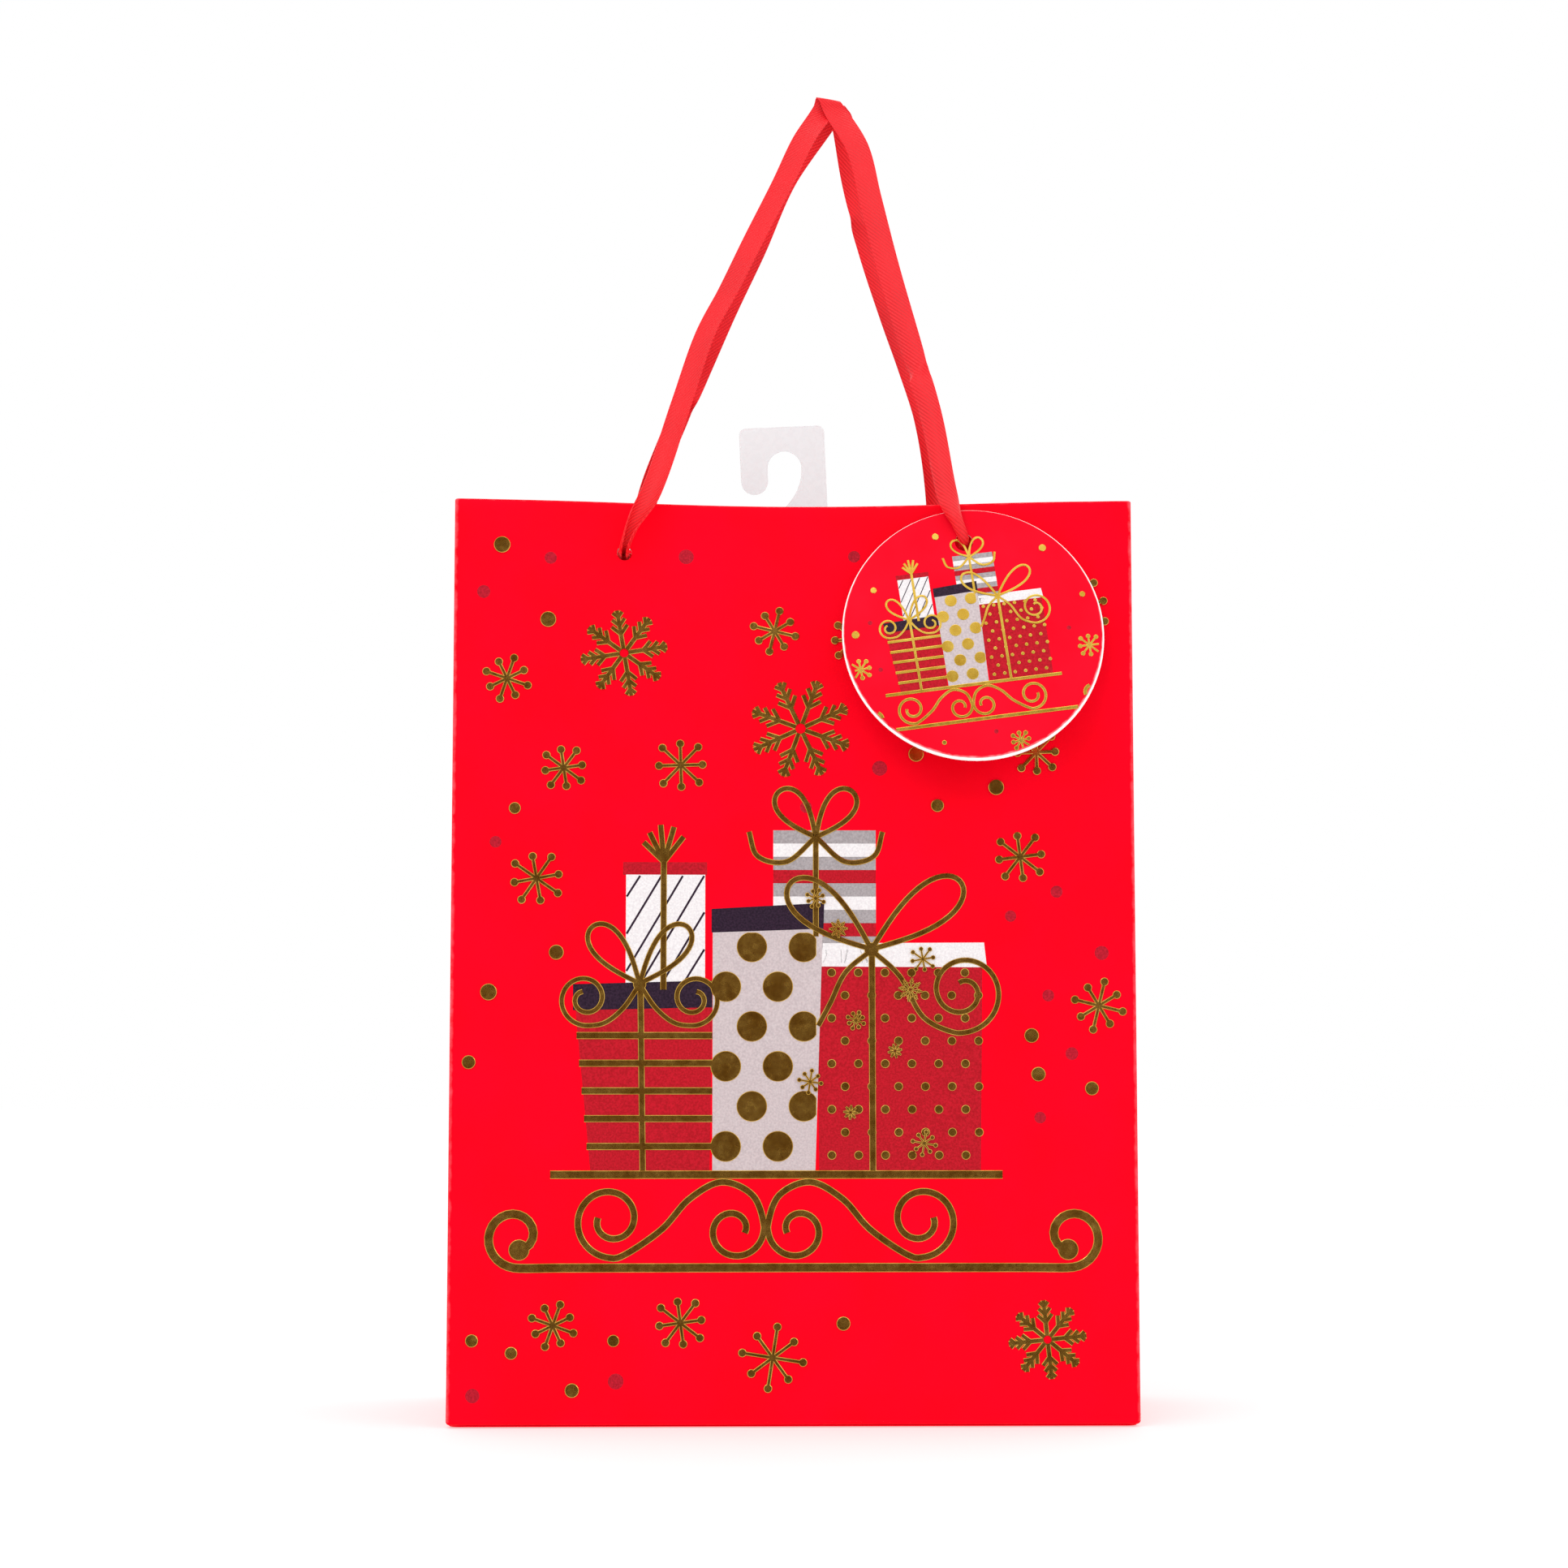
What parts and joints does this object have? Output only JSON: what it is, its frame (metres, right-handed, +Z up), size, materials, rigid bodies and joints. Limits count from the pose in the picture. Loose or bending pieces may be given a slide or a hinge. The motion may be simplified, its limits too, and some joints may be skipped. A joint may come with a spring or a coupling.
{
  "type": "gift bag",
  "caption": "Paper gift bag standing open, with folding gussets, a folding base, swinging ribbon handles, a round swing tag and a clear hang tab.",
  "frame": {"origin": "middle of the underside of the base, on the surface that the bag stands on", "axes": "+Z up, -Y towards the front face with the tag, +X to the right of someone facing the front"},
  "size_m": [0.18, 0.0954, 0.3598],
  "materials": {
    "printed_paper": "matte laminated red print",
    "plain_paper": "uncoated white",
    "stiffener_card": "uncoated",
    "ribbon": "satin weave",
    "tag_card": "matte red print with a white core",
    "clear_film": "clear film",
    "gold_foil": "stamped foil",
    "print_ink": "matte print"
  },
  "bodies": {
    "back_wall": {"back_panel": "printed_paper", "back_top_card": "stiffener_card", "back_hem": "printed_paper", "side_seam_flap": "plain_paper", "back_knot_left": "ribbon", "back_knot_right": "ribbon", "hang_tab": "clear_film"},
    "left_gusset_rear": {"left_gusset_rear": "printed_paper", "left_gusset_rear_hem": "printed_paper"},
    "left_gusset_front": {"left_gusset_front": "printed_paper", "left_gusset_front_hem": "printed_paper"},
    "right_gusset_rear": {"right_gusset_rear": "printed_paper", "right_gusset_rear_hem": "printed_paper"},
    "right_gusset_front": {"right_gusset_front": "printed_paper", "right_gusset_front_hem": "printed_paper"},
    "front_wall": {"front_panel": "printed_paper", "front_top_card": "stiffener_card", "front_hem": "printed_paper", "front_knot_left": "ribbon", "front_knot_right": "ribbon"},
    "base": {"base_front_flap": "printed_paper", "base_rear_flap": "printed_paper", "base_left_flap": "plain_paper", "base_right_flap": "plain_paper", "base_board": "stiffener_card"},
    "front_ribbon_ends": {"front_ribbon_end_left": "ribbon", "front_ribbon_end_right": "ribbon"},
    "front_handle": {"front_ribbon_handle": "ribbon"},
    "back_ribbon_ends": {"back_ribbon_end_left": "ribbon", "back_ribbon_end_right": "ribbon"},
    "back_handle": {"back_ribbon_handle": "ribbon"},
    "tag": {"gift_tag": "tag_card"}
  },
  "joints": [
    {"name": "gusset_fold", "type": "hinge", "parent": "back_wall", "child": "left_gusset_rear", "pos_m": [-0.0896, 0.0396, 0.12], "axis": [0, 0, 1], "range_deg": [0, 78]},
    {"name": "left_crease_fold", "type": "hinge", "parent": "left_gusset_rear", "child": "left_gusset_front", "pos_m": [-0.09, 0, 0.12], "axis": [0, 0, 1], "range_deg": [-156, 0]},
    {"name": "front_wall_fold", "type": "hinge", "parent": "left_gusset_front", "child": "front_wall", "pos_m": [-0.0896, -0.0396, 0.12], "axis": [0, 0, 1], "range_deg": [0, 78]},
    {"name": "right_rear_fold", "type": "hinge", "parent": "back_wall", "child": "right_gusset_rear", "pos_m": [0.0896, 0.0396, 0.12], "axis": [0, 0, 1], "range_deg": [-78, 0]},
    {"name": "right_crease_fold", "type": "hinge", "parent": "right_gusset_rear", "child": "right_gusset_front", "pos_m": [0.09, 0, 0.12], "axis": [0, 0, 1], "range_deg": [0, 156]},
    {"name": "base_fold", "type": "hinge", "parent": "back_wall", "child": "base", "pos_m": [0, 0.0396, 0], "axis": [1, 0, 0], "range_deg": [0, 90]},
    {"name": "front_ribbon_lean", "type": "hinge", "parent": "front_wall", "child": "front_ribbon_ends", "pos_m": [0, -0.041, 0.229], "axis": [1, 0, 0], "range_deg": [0, 20]},
    {"name": "back_ribbon_lean", "type": "hinge", "parent": "back_wall", "child": "back_ribbon_ends", "pos_m": [0, 0.041, 0.229], "axis": [-1, 0, 0], "range_deg": [0, 20]},
    {"name": "front_handle_swing", "type": "hinge", "parent": "front_ribbon_ends", "child": "front_handle", "pos_m": [0, -0.0424, 0.244], "axis": [1, 0, 0], "range_deg": [0, 165]},
    {"name": "back_handle_swing", "type": "hinge", "parent": "back_ribbon_ends", "child": "back_handle", "pos_m": [0, 0.0424, 0.244], "axis": [-1, 0, 0], "range_deg": [0, 170]},
    {"name": "tag_swing", "type": "hinge", "parent": "front_wall", "child": "tag", "pos_m": [0.045, -0.0427, 0.2309], "axis": [0, 1, 0], "range_deg": [-40, 25]}
  ],
  "couplings": [
    {"joint": "left_crease_fold", "follows": "gusset_fold", "ratio": -2},
    {"joint": "front_wall_fold", "follows": "gusset_fold", "ratio": 1},
    {"joint": "right_rear_fold", "follows": "gusset_fold", "ratio": -1},
    {"joint": "right_crease_fold", "follows": "gusset_fold", "ratio": 2},
    {"joint": "base_fold", "follows": "gusset_fold", "ratio": 1.1538},
    {"joint": "front_ribbon_lean", "follows": "gusset_fold", "ratio": 0.25},
    {"joint": "back_ribbon_lean", "follows": "gusset_fold", "ratio": 0.25}
  ]
}
